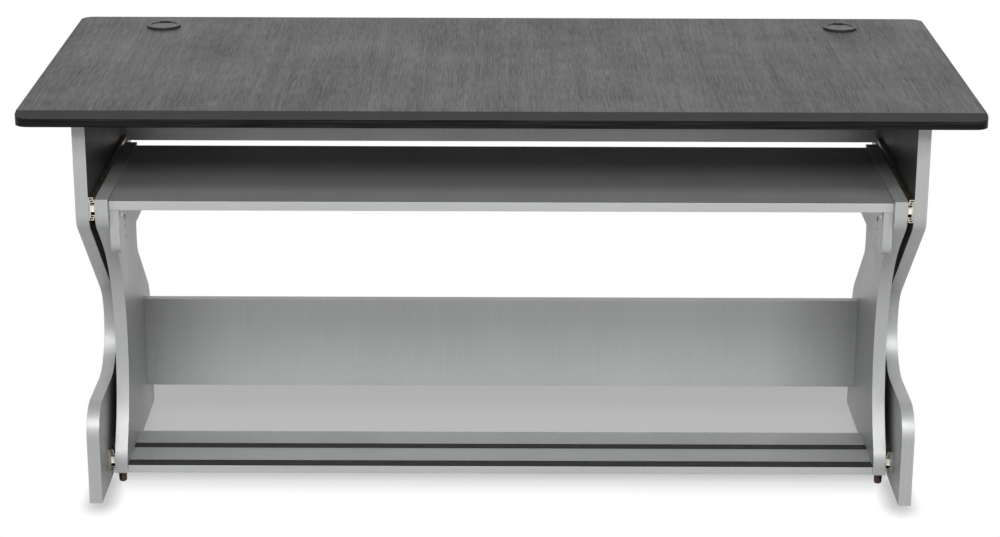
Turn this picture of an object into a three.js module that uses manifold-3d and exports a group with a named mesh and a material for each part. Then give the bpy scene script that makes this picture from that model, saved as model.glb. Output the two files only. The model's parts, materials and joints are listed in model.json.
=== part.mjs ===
// Studio desk: a wide top on two shaped side panels. Between them hangs a keyboard frame that rolls
// forward on two pairs of ball bearing slides and two ball castors.
// Millimetres, +Z up, +Y to the rear. The origin is on the floor, under the middle of the top.
import * as THREE from "three";
import { mergeVertices } from "three/addons/utils/BufferGeometryUtils.js";
import Module from "manifold-3d";

const wasm = await Module();
wasm.setup();

// Top
const deskWidth = 1800;
const deskDepth = 828;
const deskHeight = 801.5;
const topThickness = 23;
const topCornerRadius = 25;
const bevelDepth = 37.5;
const bevelDrop = 7;
const edgeBandThickness = 1;

// Cable grommets in the top
const grommetHoleRadius = 30;
const grommetSideInset = 186;
const grommetRearInset = 96;
const grommetFlangeWidth = 5;
const grommetFlangeHeight = 5.2;
const grommetSeatDepth = 0.6;
const grommetLedgeHeight = 1.2;
const grommetRimWidth = 2.5;
const grommetWall = 2.2;
const grommetSleeveLength = 22;
const grommetSkirtWall = 2;
const grommetSkirtLength = 8;
const cableSlotWidth = 24;
const cableSlotDepth = 14;
const cableSlotRadius = 6;

// Outer side panels
const boardThickness = 25;
const sideInset = 95;
const sideSetback = 59.5;
const sideDepth = 638;
const sideShoulderRadius = 40;
const sideWaistRadius = 85;
const sideHollowRadius = 95.5;
const sideFootRadius = 62;
const sideHeightShares = {
  slopeTopShare: 0.7309, rearSlopeTopShare: 0.542, slopeFootShare: 0.4341, footTopShare: 0.2511,
};
const sideDepthShares = {
  topFrontShare: 0.0125, waistFrontShare: 0.4295, waistRearShare: 0.749, topRearShare: 0.901,
};

// Apron under the back of the top
const apronHeight = 181.5;
const apronThickness = 18;
const apronInset = 45;

// Ball bearing slides
const slideLength = 450;
const slideTravel = 450;
const slideHeight = 45;
const slideThickness = 12.7;
const slideSheet = 1.2;
const slideWebGap = 1;
const slideLipGap = 3.3;
const slideTipGap = 1.1;
const slideCageRoom = 1.2;
const ballRoom = 3.2;
const ballPlay = 0.15;
const ballsPerRow = 4;
const cageSheet = 0.6;
const cageEndGap = 2;
const stopHeight = 12;
const stopLength = 14;
const stopGap = 0.4;
const upperSlideProud = 1.5;
const upperSlideInset = 2;
const lowerSlideLift = 23.8;
const lowerSlideInset = 8;

// Side panels of the keyboard frame
const keyboardBayHeight = 157;
const frameFloorGap = 24.5;
const frameDepth = 496;
const frameShoulderRadius = 40;
const frameWaistRadius = 291;
const frameShinRadius = 300;
const frameToeRadius = 60;
const frameRearRadius = 40;
const frameCalfRadius = 70;
const frameFrontHeightShares = {
  shoulderShare: 0.9188, waistShare: 0.6742, shinShare: 0.2296, toeShare: 0.0603,
};
const frameRearHeightShares = {
  calfShare: 0.4313, waistShare: 0.6524, waistTopShare: 0.7462, shoulderShare: 0.8635,
};
const frameDepthShares = {
  waistFrontShare: 0.3397, toeShare: 0.1915, waistRearShare: 0.7016, topRearShare: 0.8266,
};

// Keyboard shelf and its cleats
const shelfThickness = 18;
const shelfDrop = 6.5;
const shelfSetback = 13;
const shelfDepth = 396;
const cleatThickness = 18;
const cleatHeight = 91;
const cleatInset = 2;
const cleatCornerRadius = 25;
const cleatHoleInset = 75;
const cleatHoleDrop = 36;
const cleatHolePitch = 19;
const cleatHoleCount = 3;

// Modesty panel, pedal shelf and its rubber strips
const modestyThickness = 18;
const modestyHeight = 191;
const modestyLift = 70.5;
const modestyInset = 74;
const pedalThickness = 16;
const pedalDepth = 184;
const pedalSetback = 3;
const rubberThickness = 1.5;
const rubberFrontWidth = 27;
const rubberRearWidth = 22;
const rubberRearOffset = 94;
const rubberEndGap = 1;

// Ball castors under the keyboard frame
const castorInset = 15;
const castorCupRadius = 8;
const castorNeckRadius = 6;
const castorNeckHeight = 3.5;
const castorEdgeRadius = 1.8;
const castorCupGap = 3.2;
const castorStemRadius = 4;
const castorStemLength = 20;
const castorBallRadius = 6.5;

// Fasteners
const cleatBolt = { headRadius: 5, headHeight: 2, shankRadius: 3, shankLength: 32 };
const topBracket = { leg: 32, width: 28, sheet: 2.5 };
const shelfBracket = { leg: 19, width: 16, sheet: 2 };
const bracketHoleRadius = 2.1;
const bracketHoleShare = 0.6;
const shelfBracketInset = 25;
const apronBracketShare = 0.3;

// Running and fitting gaps
const fitGap = 0.3;
const cutOverrun = 5;

// Facets round a circle or an arc
const roundSegments = 32;
const ballSegments = 6;
const ballRings = 4;
const castorSegments = 16;
const castorRings = 8;
const castorSteps = 6;
const screwSegments = 8;
const filletSegments = 4;

// Places that several pieces share
const frontY = -deskDepth / 2;
const rearY = deskDepth / 2;
const undersideZ = deskHeight - topThickness;
const sideFrontY = frontY + sideSetback;
const sideCentreX = deskWidth / 2 - sideInset - boardThickness / 2;
const sideInnerX = sideCentreX - boardThickness / 2;
const sideTopFrontY = sideFrontY + sideDepth * sideDepthShares.topFrontShare;
const sideTopRearY = sideFrontY + sideDepth * sideDepthShares.topRearShare;
const apronRearY = sideTopRearY - apronInset;
const apronFrontY = apronRearY - apronThickness;
const frameOuterX = sideInnerX - slideThickness;
const frameInnerX = frameOuterX - boardThickness;
const frameCentreX = frameOuterX - boardThickness / 2;
const frameTopZ = undersideZ - keyboardBayHeight;
const frameHeight = frameTopZ - frameFloorGap;
const frameToeY = sideFrontY + frameDepth * frameDepthShares.toeShare;
const shelfTopZ = frameTopZ - shelfDrop;
const shelfBottomZ = shelfTopZ - shelfThickness;
const shelfFrontY = sideFrontY + shelfSetback;
const shelfRearY = shelfFrontY + shelfDepth;
const cleatInnerX = frameInnerX - cleatThickness;
const modestyFrontY = sideFrontY + frameDepth - modestyInset - modestyThickness;
const modestyBottomZ = frameFloorGap + modestyLift;
const pedalFrontY = frameToeY + pedalSetback;
const pedalTopZ = frameFloorGap + pedalThickness;
const slideLevels = {
  upper: { y: sideTopFrontY + upperSlideInset, z: frameTopZ - slideHeight / 2 + upperSlideProud },
  lower: { y: frameToeY + lowerSlideInset, z: frameFloorGap + lowerSlideLift },
};
const sides = { left: -1, right: 1 };

// Colours and finishes
const finishes = {
  darkGrain: { color: 0x5a5b5e, roughness: 0.55, metalness: 0 },
  blackEdge: { color: 0x1a1b1d, roughness: 0.45, metalness: 0 },
  silverBoard: { color: 0xa7acaa, roughness: 0.5, metalness: 0 },
  darkPlastic: { color: 0x3c3e40, roughness: 0.5, metalness: 0 },
  zincSteel: { color: 0xa39b90, roughness: 0.35, metalness: 0.9 },
  chromeBall: { color: 0xd6d6d6, roughness: 0.15, metalness: 1 },
  ivoryPlastic: { color: 0xe8dccb, roughness: 0.5, metalness: 0 },
  blackSteel: { color: 0x202020, roughness: 0.4, metalness: 0.8 },
  bronzeSteel: { color: 0x3b2a22, roughness: 0.3, metalness: 0.9 },
  blackRubber: { color: 0x242425, roughness: 0.85, metalness: 0 },
};

const xAxis = new THREE.Vector3(1, 0, 0);
const yAxis = new THREE.Vector3(0, 1, 0);
const zAxis = new THREE.Vector3(0, 0, 1);
const minus = (axis) => axis.clone().negate();
const desk = new THREE.Group();

function addPiece(name, finish, geometry, at = [0, 0, 0]) {
  const mesh = new THREE.Mesh(geometry, new THREE.MeshStandardMaterial(finishes[finish]));
  mesh.name = name;
  mesh.position.set(...at);
  desk.add(mesh);
}

// Closed solid for cutting and joining, with shared corners and no empty triangles
function solidOf(geometry) {
  const bare = geometry.clone();
  bare.deleteAttribute("normal");
  bare.deleteAttribute("uv");
  const merged = mergeVertices(bare);
  const corners = merged.index.array;
  const kept = [];
  for (let i = 0; i < corners.length; i += 3) {
    const [a, b, c] = corners.slice(i, i + 3);
    if (a !== b && b !== c && c !== a) kept.push(a, b, c);
  }
  const vertProperties = new Float32Array(merged.attributes.position.array);
  return new wasm.Manifold(new wasm.Mesh({ numProp: 3, vertProperties, triVerts: new Uint32Array(kept) }));
}

function geometryOf(solid) {
  const mesh = solid.getMesh();
  const geometry = new THREE.BufferGeometry();
  geometry.setAttribute("position", new THREE.BufferAttribute(mesh.vertProperties, 3));
  geometry.setIndex(new THREE.BufferAttribute(mesh.triVerts, 1));
  return geometry;
}

// The tools are given at their place in the desk, and the board stands at the place "at"
function cut(geometry, tools, at = [0, 0, 0]) {
  const placed = tools.map((tool) => solidOf(tool.clone().translate(...at.map((value) => -value))));
  return geometryOf(placed.reduce((body, tool) => body.subtract(tool), solidOf(geometry)));
}

function join(geometries) {
  return geometryOf(geometries.map(solidOf).reduce((body, other) => body.add(other)));
}

// How far each rounded corner reaches along its edges, kept within the edges' lengths
function filletReaches(points, radii) {
  const count = points.length;
  const reaches = points.map((corner, i) => {
    const before = points.at(i - 1).clone().sub(corner);
    const after = points[(i + 1) % count].clone().sub(corner);
    return radii[i] / Math.tan(before.angleTo(after) / 2);
  });
  return reaches.map((reach, i) => {
    const others = [(i + count - 1) % count, (i + 1) % count];
    const rooms = others.map((k) => points[i].distanceTo(points[k]) / (reach + reaches[k] || 1));
    return reach * Math.min(1, ...rooms);
  });
}

// Outline through [x, y, radius] corners, each rounded by an arc of its radius
function roundedOutline(corners) {
  const points = corners.map(([x, y]) => new THREE.Vector2(x, y));
  const reaches = filletReaches(points, corners.map(([, , radius = 0]) => radius));
  const outline = new THREE.Shape();
  points.forEach((corner, i) => {
    const before = points.at(i - 1).clone().sub(corner).normalize();
    const after = points[(i + 1) % points.length].clone().sub(corner).normalize();
    const start = corner.clone().addScaledVector(before, reaches[i]);
    if (i === 0) outline.moveTo(start.x, start.y);
    else outline.lineTo(start.x, start.y);
    if (reaches[i] === 0) return;
    const half = before.angleTo(after) / 2;
    const radius = reaches[i] * Math.tan(half);
    const inward = before.clone().add(after).normalize();
    const centre = corner.clone().addScaledVector(inward, radius / Math.sin(half));
    const end = corner.clone().addScaledVector(after, reaches[i]).sub(centre);
    start.sub(centre);
    outline.absarc(centre.x, centre.y, radius, start.angle(), end.angle(), before.cross(after) > 0);
  });
  outline.closePath();
  return outline;
}

function extrude(shape, depth) {
  return new THREE.ExtrudeGeometry(shape, { depth, bevelEnabled: false, curveSegments: filletSegments });
}

// Board with its outline in Y and Z, and its thickness centred on X
function sideBoard(corners, thickness) {
  const standing = new THREE.Matrix4().makeBasis(yAxis, zAxis, xAxis);
  const geometry = extrude(roundedOutline(corners), thickness).applyMatrix4(standing);
  return geometry.translate(-thickness / 2, 0, 0);
}

// Bar with its section in X and Z, running back from Y = 0
function bar(corners, length) {
  const lying = new THREE.Matrix4().makeBasis(xAxis, zAxis, minus(yAxis));
  return extrude(roundedOutline(corners), length).applyMatrix4(lying).translate(0, length, 0);
}

// Plain board, centred on X, with its front at Y = 0 and its underside at Z = 0
function slab(width, depth, height) {
  return new THREE.BoxGeometry(width, depth, height).translate(0, depth / 2, height / 2);
}

// Turned piece about Z, from [radius, height] pairs that run anticlockwise
function turned(profile, segments) {
  const points = profile.map(([radius, height]) => new THREE.Vector2(radius, height));
  return new THREE.LatheGeometry(points, segments).rotateX(Math.PI / 2);
}

function rod(radius, from, to, segments) {
  return turned([[0, from], [radius, from], [radius, to], [0, to]], segments);
}

function aimed(geometry, { at, along }) {
  const turn = new THREE.Quaternion().setFromUnitVectors(zAxis, along);
  return geometry.clone().applyQuaternion(turn).translate(...at);
}

// A bolt stands with the face under its head at Z = 0, and its shank runs up
function bolt({ headRadius, headHeight, shankRadius, shankLength }) {
  const profile = [
    [0, -headHeight], [headRadius, -headHeight], [headRadius, 0],
    [shankRadius, 0], [shankRadius, shankLength], [0, shankLength],
  ];
  return turned(profile, screwSegments);
}

function boltHole(length) {
  return rod(cleatBolt.shankRadius + fitGap, -cutOverrun, length, screwSegments);
}

// Bracket of two legs from a corner, each lying against a board and with a screw hole through it
function bracket({ leg, width, sheet }, { corner, first, second }) {
  const outline = [[0, 0], [leg, 0], [leg, sheet], [sheet, sheet], [sheet, leg], [0, leg]];
  const body = extrude(roundedOutline(outline), width).translate(0, 0, -width / 2);
  const hole = rod(bracketHoleRadius, -cutOverrun, sheet + cutOverrun, screwSegments);
  const run = leg * bracketHoleShare;
  const holes = [
    aimed(hole, { at: [run, 0, 0], along: yAxis }),
    aimed(hole, { at: [0, run, 0], along: xAxis }),
  ];
  const place = new THREE.Matrix4().makeBasis(first, second, first.clone().cross(second));
  return cut(body, holes).applyMatrix4(place.setPosition(...corner));
}

// Brackets behind the apron: three hold it to the top, and one on each side holds the top to a side
const apronBracketPlaces = Object.entries({ left: -1, middle: 0, right: 1 }).map(([name, step]) => [name, {
  corner: [step * deskWidth * apronBracketShare, apronRearY, undersideZ],
  first: yAxis,
  second: minus(zAxis),
}]);
const sideBracketPlaces = Object.entries(sides).map(([name, side]) => [name, {
  corner: [side * sideInnerX, (apronRearY + sideTopRearY) / 2, undersideZ],
  first: xAxis.clone().multiplyScalar(-side),
  second: minus(zAxis),
}]);

// Depths along the keyboard shelf where its brackets and bolts stand
const shelfBracketRows = { front: shelfFrontY + shelfBracketInset, rear: shelfRearY - shelfBracketInset };
const cleatBoltRows = { front: shelfFrontY + cleatHoleInset, rear: shelfRearY - cleatHoleInset };

// Holes of a cleat from the top one down, which takes the bolt and is drilled on into the side panel
function cleatHoles(side, length, count) {
  const hole = boltHole(length);
  const along = xAxis.clone().multiplyScalar(side);
  return Object.values(cleatBoltRows).flatMap((y) =>
    Array.from({ length: count }, (_, step) => {
      const z = shelfBottomZ - cleatHoleDrop - step * cleatHolePitch;
      return aimed(hole, { at: [side * cleatInnerX, y, z], along });
    }),
  );
}

function topOutline(inset) {
  const x = deskWidth / 2 - inset;
  const y = deskDepth / 2 - inset;
  const radius = topCornerRadius - inset;
  return [[-x, -y, radius], [x, -y, radius], [x, y, radius], [-x, y, radius]];
}

// Wedge that slopes the front of the top down to its edge
function bevelWedge() {
  const slope = bevelDrop / bevelDepth;
  const front = frontY - cutOverrun;
  const back = frontY + bevelDepth + cutOverrun;
  const corners = [
    [front, deskHeight - bevelDrop - slope * cutOverrun],
    [back, deskHeight + slope * cutOverrun],
    [back, deskHeight + cutOverrun],
    [front, deskHeight + cutOverrun],
  ];
  return sideBoard(corners, deskWidth + cutOverrun);
}

function grommetPlaces() {
  const x = deskWidth / 2 - grommetSideInset;
  const y = rearY - grommetRearInset;
  return Object.entries(sides).map(([name, side]) => [name, [side * x, y, deskHeight]]);
}

// Hole through the top, with a shallow seat round it for the grommet's flange
function grommetBore() {
  const seat = grommetHoleRadius + grommetFlangeWidth + fitGap;
  const low = -topThickness - cutOverrun;
  return turned([
    [0, low], [grommetHoleRadius, low], [grommetHoleRadius, -grommetSeatDepth],
    [seat, -grommetSeatDepth], [seat, cutOverrun], [0, cutOverrun],
  ], roundSegments);
}

function addTop() {
  const bore = grommetBore();
  const bores = grommetPlaces().map(([, place]) => bore.clone().translate(...place));
  const board = extrude(roundedOutline(topOutline(edgeBandThickness)), topThickness);
  const lifted = board.translate(0, 0, undersideZ);
  addPiece("desktop_board", "darkGrain", cut(lifted, [bevelWedge(), ...bores]));
  const ring = roundedOutline(topOutline(0));
  ring.holes.push(roundedOutline(topOutline(edgeBandThickness)));
  const band = extrude(ring, topThickness).translate(0, 0, undersideZ);
  addPiece("desktop_edge_band", "blackEdge", cut(band, [bevelWedge()]));
}

// Liner through the top, with a raised flange whose recess takes the cap
function grommetSleeve() {
  const outer = grommetHoleRadius - fitGap;
  const bore = outer - grommetWall;
  const flange = grommetHoleRadius + grommetFlangeWidth;
  const recess = flange - grommetRimWidth;
  return turned([
    [bore, -grommetSleeveLength], [outer, -grommetSleeveLength], [outer, -grommetSeatDepth],
    [flange, -grommetSeatDepth], [flange, grommetFlangeHeight], [recess, grommetFlangeHeight],
    [recess, grommetLedgeHeight], [bore, grommetLedgeHeight], [bore, -grommetSleeveLength],
  ], roundSegments);
}

// Disc with a skirt that turns in the liner, and a slot at its edge for cables
function grommetCap() {
  const disc = grommetHoleRadius + grommetFlangeWidth - grommetRimWidth - fitGap;
  const skirt = grommetHoleRadius - grommetWall - 2 * fitGap;
  const underside = grommetLedgeHeight + fitGap;
  const inside = skirt - grommetSkirtWall;
  const body = turned([
    [0, underside], [inside, underside], [inside, -grommetSkirtLength], [skirt, -grommetSkirtLength],
    [skirt, underside], [disc, underside], [disc, grommetFlangeHeight], [0, grommetFlangeHeight],
  ], roundSegments);
  const x = cableSlotWidth / 2;
  const inner = disc - cableSlotDepth;
  const outer = disc + cutOverrun;
  const corners = [[-x, inner, cableSlotRadius], [x, inner, cableSlotRadius], [x, outer], [-x, outer]];
  const height = grommetSkirtLength + grommetFlangeHeight + 2 * cutOverrun;
  const slot = extrude(roundedOutline(corners), height).translate(0, 0, -grommetSkirtLength - cutOverrun);
  return cut(body, [slot]);
}

function addGrommets() {
  for (const [name, place] of grommetPlaces()) {
    addPiece(`grommet_sleeve_${name}`, "darkPlastic", grommetSleeve(), place);
    addPiece(`grommet_cap_${name}`, "darkPlastic", grommetCap(), place);
  }
}

function outerSideCorners() {
  const { topFrontShare, waistFrontShare, waistRearShare, topRearShare } = sideDepthShares;
  const { slopeTopShare, rearSlopeTopShare, slopeFootShare, footTopShare } = sideHeightShares;
  const shares = [
    [topFrontShare, 1, 0], [topFrontShare, slopeTopShare, sideShoulderRadius],
    [waistFrontShare, slopeFootShare, sideWaistRadius], [waistFrontShare, footTopShare, sideHollowRadius],
    [0, footTopShare, sideFootRadius], [0, 0, 0], [1, 0, 0], [1, footTopShare, sideFootRadius],
    [waistRearShare, footTopShare, sideHollowRadius], [waistRearShare, slopeFootShare, sideWaistRadius],
    [topRearShare, rearSlopeTopShare, sideShoulderRadius], [topRearShare, 1, 0],
  ];
  return shares.map(([along, up, radius]) => [along * sideDepth, up * undersideZ, radius]);
}

function addOuterSides() {
  for (const [name, side] of Object.entries(sides)) {
    const at = [side * sideCentreX, sideFrontY, 0];
    addPiece(`outer_side_${name}`, "silverBoard", sideBoard(outerSideCorners(), boardThickness), at);
  }
}

function addApron() {
  const board = slab(2 * sideInnerX, apronThickness, apronHeight);
  addPiece("rear_apron", "silverBoard", board, [0, apronFrontY, undersideZ - apronHeight]);
  for (const [name, place] of apronBracketPlaces) {
    addPiece(`apron_bracket_${name}`, "zincSteel", bracket(topBracket, place));
  }
  for (const [name, place] of sideBracketPlaces) {
    addPiece(`side_bracket_${name}`, "zincSteel", bracket(topBracket, place));
  }
}

function frameSideCorners() {
  const { waistFrontShare, toeShare, waistRearShare, topRearShare } = frameDepthShares;
  const front = frameFrontHeightShares;
  const rear = frameRearHeightShares;
  const shares = [
    [0, 1, 0], [0, front.shoulderShare, frameShoulderRadius],
    [waistFrontShare, front.waistShare, frameWaistRadius],
    [waistFrontShare, front.shinShare, frameShinRadius],
    [toeShare, front.toeShare, frameToeRadius], [toeShare, 0, 0],
    [1, 0, 0], [1, rear.calfShare, frameCalfRadius],
    [waistRearShare, rear.waistShare, frameRearRadius],
    [waistRearShare, rear.waistTopShare, frameRearRadius],
    [topRearShare, rear.shoulderShare, frameRearRadius], [topRearShare, 1, 0],
  ];
  return shares.map(([along, up, radius]) => [along * frameDepth, up * frameHeight, radius]);
}

function castorPlace(side) {
  return [side * frameCentreX, frameToeY + castorInset, 0];
}

function addFrameSides() {
  for (const [name, side] of Object.entries(sides)) {
    const at = [side * frameCentreX, sideFrontY, frameFloorGap];
    const board = sideBoard(frameSideCorners(), boardThickness);
    const stemHole = rod(castorStemRadius + fitGap, -cutOverrun, castorStemLength + fitGap, castorSegments);
    const [x, y] = castorPlace(side);
    stemHole.translate(x, y, frameFloorGap);
    const boltHoles = cleatHoles(side, cleatBolt.shankLength + fitGap, 1);
    addPiece(`inner_side_${name}`, "silverBoard", cut(board, [...boltHoles, stemHole], at), at);
  }
}

function addKeyboardShelf() {
  const board = slab(2 * frameInnerX, shelfDepth, shelfThickness);
  addPiece("keyboard_shelf", "silverBoard", board, [0, shelfFrontY, shelfBottomZ]);
}

function addCleats() {
  const depth = shelfDepth - cleatInset;
  const corners = [[0, 0, cleatCornerRadius], [depth, 0], [depth, cleatHeight], [0, cleatHeight]];
  for (const [name, side] of Object.entries(sides)) {
    const x = side * (cleatInnerX + cleatThickness / 2);
    const at = [x, shelfFrontY + cleatInset, shelfBottomZ - cleatHeight];
    const holes = cleatHoles(side, cleatThickness + cutOverrun, cleatHoleCount);
    addPiece(`shelf_cleat_${name}`, "silverBoard", cut(sideBoard(corners, cleatThickness), holes, at), at);
  }
}

function addShelfFixings() {
  for (const [name, side] of Object.entries(sides)) {
    for (const [row, y] of Object.entries(shelfBracketRows)) {
      const place = {
        corner: [side * cleatInnerX, y, shelfBottomZ],
        first: xAxis.clone().multiplyScalar(-side),
        second: minus(zAxis),
      };
      addPiece(`shelf_bracket_${row}_${name}`, "zincSteel", bracket(shelfBracket, place));
    }
    for (const [row, y] of Object.entries(cleatBoltRows)) {
      const driven = aimed(bolt(cleatBolt), { at: [0, 0, 0], along: xAxis.clone().multiplyScalar(side) });
      const at = [side * cleatInnerX, y, shelfBottomZ - cleatHoleDrop];
      addPiece(`cleat_bolt_${row}_${name}`, "blackSteel", driven, at);
    }
  }
}

function addLowerBoards() {
  const modesty = slab(2 * frameInnerX, modestyThickness, modestyHeight);
  addPiece("modesty_panel", "silverBoard", modesty, [0, modestyFrontY, modestyBottomZ]);
  const pedal = slab(2 * frameInnerX, pedalDepth, pedalThickness);
  addPiece("pedal_shelf", "silverBoard", pedal, [0, pedalFrontY, frameFloorGap]);
}

function addRubberStrips() {
  const length = 2 * (frameInnerX - rubberEndGap);
  const front = slab(length, rubberFrontWidth, rubberThickness);
  addPiece("rubber_strip_front", "blackRubber", front, [0, pedalFrontY, pedalTopZ]);
  const rear = slab(length, rubberRearWidth, rubberThickness);
  addPiece("rubber_strip_rear", "blackRubber", rear, [0, pedalFrontY + rubberRearOffset, pedalTopZ]);
}

// Depths of the slide's nested channels, counted inward from the outer side panel
const middleWeb = slideSheet + slideWebGap;
const innerTip = middleWeb + slideSheet + slideCageRoom;
const middleTip = slideThickness - slideSheet - slideTipGap;
const outerTip = slideThickness - slideLipGap;
const outerHalf = slideHeight / 2;
const middleHalf = outerHalf - slideSheet - ballRoom;
const innerHalf = middleHalf - slideSheet - ballRoom;
const cageMargin = stopLength + cageEndGap;

// Channel with its web at one depth and the tips of its flanges at another
function channelCorners(web, tip, half, sheet) {
  const face = web + Math.sign(tip - web) * sheet;
  const lip = half - sheet;
  return [
    [web, -half], [tip, -half], [tip, -lip], [face, -lip],
    [face, lip], [tip, lip], [tip, half], [web, half],
  ];
}

function slideBar(side, corners, length) {
  return bar(corners.map(([depth, up]) => [-side * depth, up]), length);
}

// Ball cage: a thin channel that holds a row of balls above and a row below
function cage(side, webRoom, tip, half, ballDepth) {
  const web = webRoom[0] + (webRoom[1] - webRoom[0] - cageSheet) / 2;
  const length = slideLength - slideTravel / 2 - 2 * cageMargin;
  const strip = slideBar(side, channelCorners(web, tip, half + cageSheet / 2, cageSheet), length);
  const radius = ballRoom / 2 - ballPlay;
  const ball = new THREE.SphereGeometry(radius, ballSegments, ballRings);
  const balls = Array.from({ length: ballsPerRow }, (_, i) => ((i + 1) * length) / (ballsPerRow + 1));
  const placed = balls.flatMap((y) =>
    [-half, half].map((z) => ball.clone().translate(-side * ballDepth, y, z)),
  );
  return join([strip, ...placed]);
}

function slideStop(side) {
  const near = middleWeb + slideSheet;
  const far = slideThickness - slideSheet - stopGap;
  return slab(far - near, stopLength, stopHeight).translate((-side * (near + far)) / 2, 0, -stopHeight / 2);
}

function addSlide(level, name, side) {
  const { y, z } = slideLevels[level];
  const at = [side * sideInnerX, y, z];
  const label = `slide_${level}_${name}`;
  const outer = slideBar(side, channelCorners(0, outerTip, outerHalf, slideSheet), slideLength);
  const middle = slideBar(side, channelCorners(middleWeb, middleTip, middleHalf, slideSheet), slideLength);
  const inner = slideBar(side, channelCorners(slideThickness, innerTip, innerHalf, slideSheet), slideLength);
  const cageAt = [at[0], y + slideTravel / 4 + cageMargin, z];
  const outerCage = cage(side, [slideSheet, middleWeb], outerTip - slideTipGap,
    middleHalf + ballRoom / 2, (middleWeb + outerTip) / 2);
  const innerCage = cage(side, [middleWeb + slideSheet, innerTip], middleTip - slideTipGap,
    innerHalf + ballRoom / 2, (innerTip + middleTip) / 2);
  addPiece(`${label}_outer`, "zincSteel", outer, at);
  addPiece(`${label}_middle`, "zincSteel", middle, at);
  addPiece(`${label}_inner`, "zincSteel", inner, at);
  addPiece(`${label}_outer_cage`, "chromeBall", outerCage, cageAt);
  addPiece(`${label}_inner_cage`, "chromeBall", innerCage, cageAt);
  addPiece(`${label}_stop`, "ivoryPlastic", slideStop(side), at);
}

function addSlides() {
  for (const level of Object.keys(slideLevels)) {
    for (const [name, side] of Object.entries(sides)) addSlide(level, name, side);
  }
}

// Cup on a stem, hollowed round the ball and drawn in under its middle to hold it
function castorHousing() {
  const top = frameFloorGap;
  const shoulder = top - castorNeckHeight;
  const socket = castorBallRadius + fitGap;
  const rim = castorCupGap - castorBallRadius;
  const start = Math.asin(rim / socket);
  const quarter = Math.PI / 2;
  const steps = Array.from({ length: castorSteps + 1 }, (_, i) => i / castorSteps);
  const hollow = steps.map((step) => {
    const angle = quarter + (start - quarter) * step;
    return [socket * Math.cos(angle), castorBallRadius + socket * Math.sin(angle)];
  });
  const edge = steps.map((step) => {
    const angle = quarter * (step - 1);
    const centre = castorCupRadius - castorEdgeRadius;
    return [centre + castorEdgeRadius * Math.cos(angle),
      castorCupGap + castorEdgeRadius * (1 + Math.sin(angle))];
  });
  hollow[0][0] = 0;
  return turned([
    ...hollow, ...edge, [castorCupRadius, shoulder], [castorNeckRadius, shoulder], [castorNeckRadius, top],
    [castorStemRadius, top], [castorStemRadius, top + castorStemLength], [0, top + castorStemLength],
  ], castorSegments);
}

function addCastors() {
  for (const [name, side] of Object.entries(sides)) {
    const [x, y] = castorPlace(side);
    addPiece(`castor_housing_${name}`, "bronzeSteel", castorHousing(), [x, y, 0]);
    const ball = new THREE.SphereGeometry(castorBallRadius, castorSegments, castorRings);
    addPiece(`castor_ball_${name}`, "chromeBall", ball.rotateX(Math.PI / 2), [x, y, castorBallRadius]);
  }
}

addTop();
addGrommets();
addOuterSides();
addApron();
addSlides();
addFrameSides();
addKeyboardShelf();
addCleats();
addShelfFixings();
addLowerBoards();
addRubberStrips();
addCastors();

export default desk;
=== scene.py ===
import json
import math

import bmesh
import bpy
from mathutils import Matrix, Vector


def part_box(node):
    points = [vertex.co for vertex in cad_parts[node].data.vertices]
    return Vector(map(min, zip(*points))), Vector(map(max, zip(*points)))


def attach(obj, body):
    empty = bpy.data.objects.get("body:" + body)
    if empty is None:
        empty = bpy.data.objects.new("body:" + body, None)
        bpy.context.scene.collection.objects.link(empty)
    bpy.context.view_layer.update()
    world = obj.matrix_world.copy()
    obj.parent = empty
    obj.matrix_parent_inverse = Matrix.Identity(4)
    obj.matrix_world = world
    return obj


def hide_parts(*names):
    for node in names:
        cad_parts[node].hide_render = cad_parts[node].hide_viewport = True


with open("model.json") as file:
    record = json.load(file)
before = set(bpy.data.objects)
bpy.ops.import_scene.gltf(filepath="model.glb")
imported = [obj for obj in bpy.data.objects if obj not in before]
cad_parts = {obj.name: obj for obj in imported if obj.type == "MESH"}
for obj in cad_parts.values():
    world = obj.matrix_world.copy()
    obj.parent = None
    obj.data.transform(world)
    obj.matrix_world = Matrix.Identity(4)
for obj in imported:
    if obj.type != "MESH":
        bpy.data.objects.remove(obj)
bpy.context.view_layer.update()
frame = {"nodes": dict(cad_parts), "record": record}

sides = {"left": -1, "right": 1}
levels = ("upper", "lower")
rows = ("front", "rear")
bodyOf = {n: body for body, members in frame["record"]["behaviour"]["bodies"].items() for n in members}
print("frame loaded:", len(frame["nodes"]), "nodes")


# Selecting and small steps at the bench

bench = {"seam": 0.000005, "flat": 0.6, "speck": 0.001, "bendSteps": 4, "smooth": 35, "smallRound": 40,
         "near": 0.0001}


def pickUp(piece):
    bpy.ops.object.select_all(action="DESELECT")
    piece.select_set(True)
    bpy.context.view_layer.objects.active = piece


def openUp(piece):
    pickUp(piece)
    bpy.ops.object.mode_set(mode="EDIT")
    bpy.ops.mesh.select_mode(type="VERT")


def closeUp():
    bpy.ops.object.mode_set(mode="OBJECT")
    return bpy.context.view_layer.objects.active


def choose(piece, kind, test):  # kind is verts, edges or faces, and test gets one of them
    bpy.ops.mesh.select_mode(type={"verts": "VERT", "edges": "EDGE", "faces": "FACE"}[kind])
    bpy.ops.mesh.select_all(action="DESELECT")
    mesh = bmesh.from_edit_mesh(piece.data)
    for part in getattr(mesh, kind):
        part.select_set(bool(test(part)))
    mesh.select_flush_mode()
    bmesh.update_edit_mesh(piece.data)


def applyModifier(piece, kind, **settings):
    pickUp(piece)
    modifier = piece.modifiers.new(kind.title(), kind)
    for setting, value in settings.items():
        setattr(modifier, setting, value)
    bpy.ops.object.modifier_apply(modifier=modifier.name)


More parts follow.
